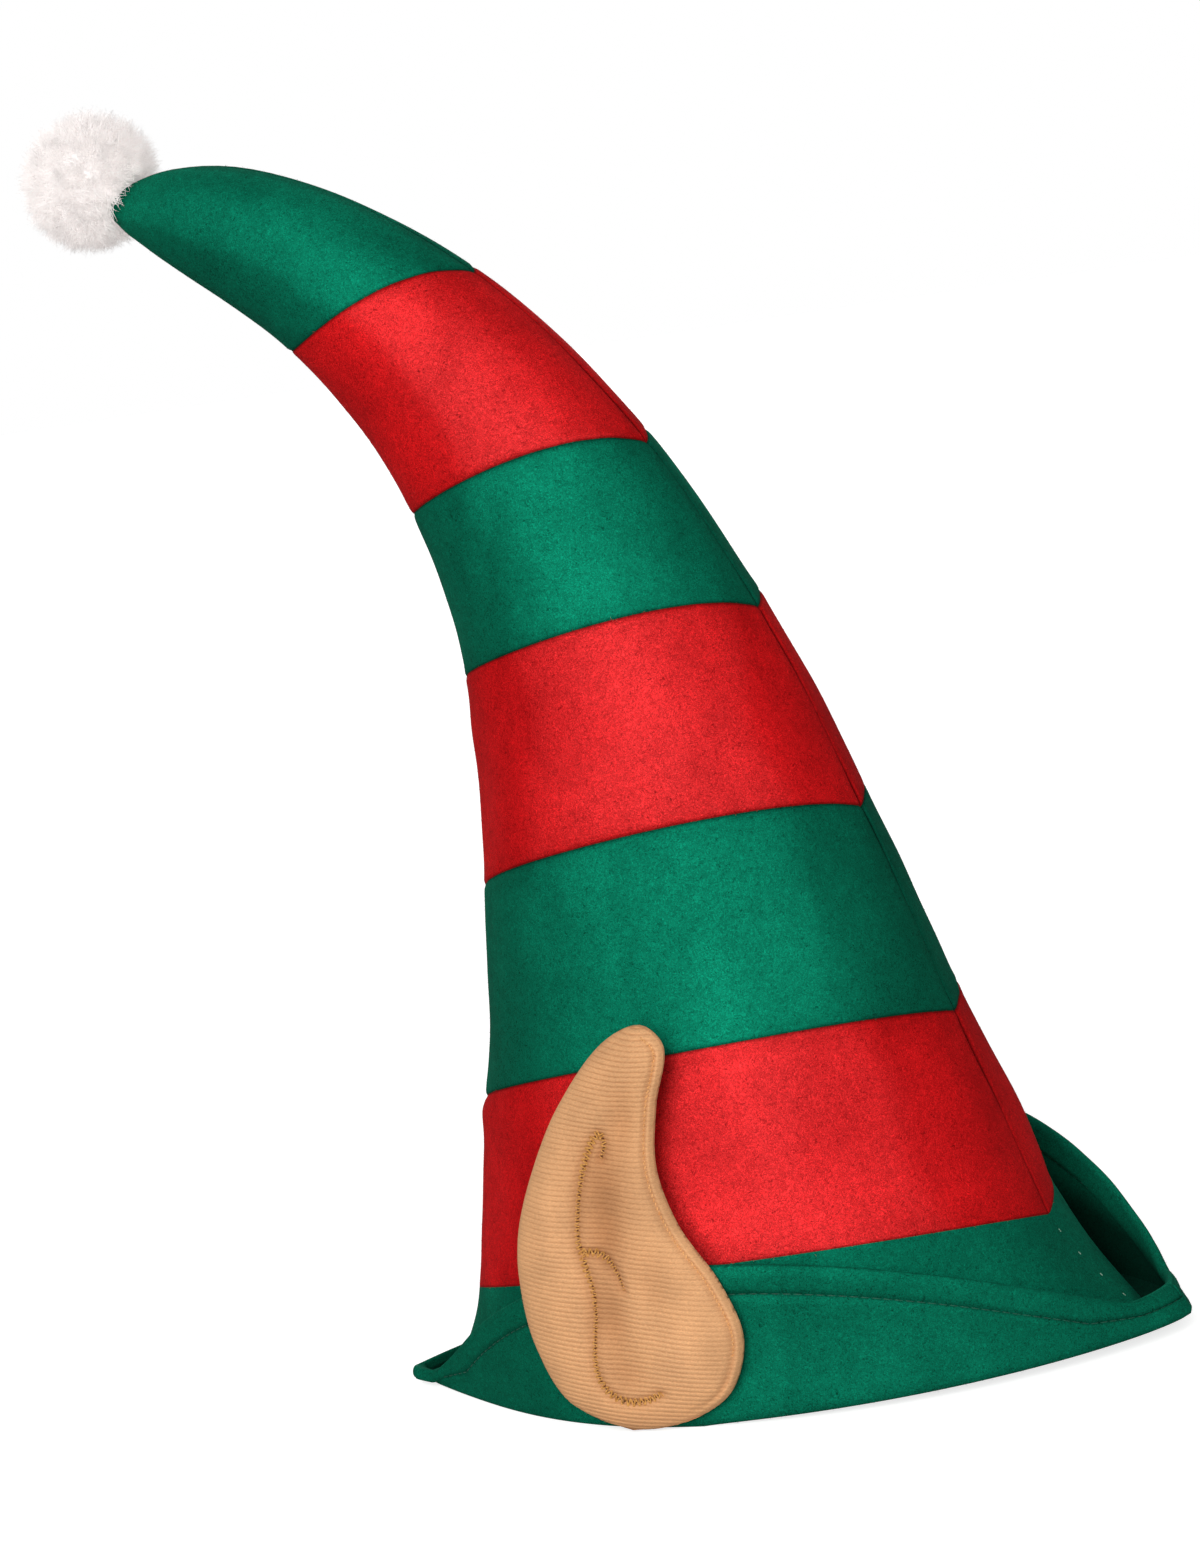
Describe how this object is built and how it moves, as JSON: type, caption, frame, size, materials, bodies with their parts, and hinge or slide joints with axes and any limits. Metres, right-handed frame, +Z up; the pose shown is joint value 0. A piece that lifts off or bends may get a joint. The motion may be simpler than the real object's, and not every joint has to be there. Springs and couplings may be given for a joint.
{
  "type": "elf hat",
  "caption": "Tall striped felt costume hat that curves back to a pompom, with a pointed turned-up brim and padded pointed ears.",
  "frame": {"origin": "on the surface that the hat stands on, under the middle of its box", "axes": "+X towards the front of the hat, +Z up, and the wearer's right is -Y"},
  "size_m": [0.3748, 0.2204, 0.4617],
  "materials": {
    "red_felt": "matte red needle felt",
    "green_felt": "matte green needle felt",
    "ear_twill": "matte peach ribbed twill with golden brown satin stitch",
    "pompom_fur": "soft white fluffy fur"
  },
  "bodies": {
    "root": {"crown_red_1_right": "red_felt", "crown_red_1_left": "red_felt", "crown_green_2_right": "green_felt", "crown_green_2_left": "green_felt", "crown_red_3_right": "red_felt", "crown_red_3_left": "red_felt", "crown_green_4_right": "green_felt", "crown_green_4_left": "green_felt", "crown_red_5_right": "red_felt", "crown_red_5_left": "red_felt", "crown_green_6_right": "green_felt", "crown_green_6_left": "green_felt", "brim_right": "green_felt", "brim_left": "green_felt", "ear_right": "ear_twill", "ear_left": "ear_twill", "pompom": "pompom_fur"}
  },
  "joints": []
}
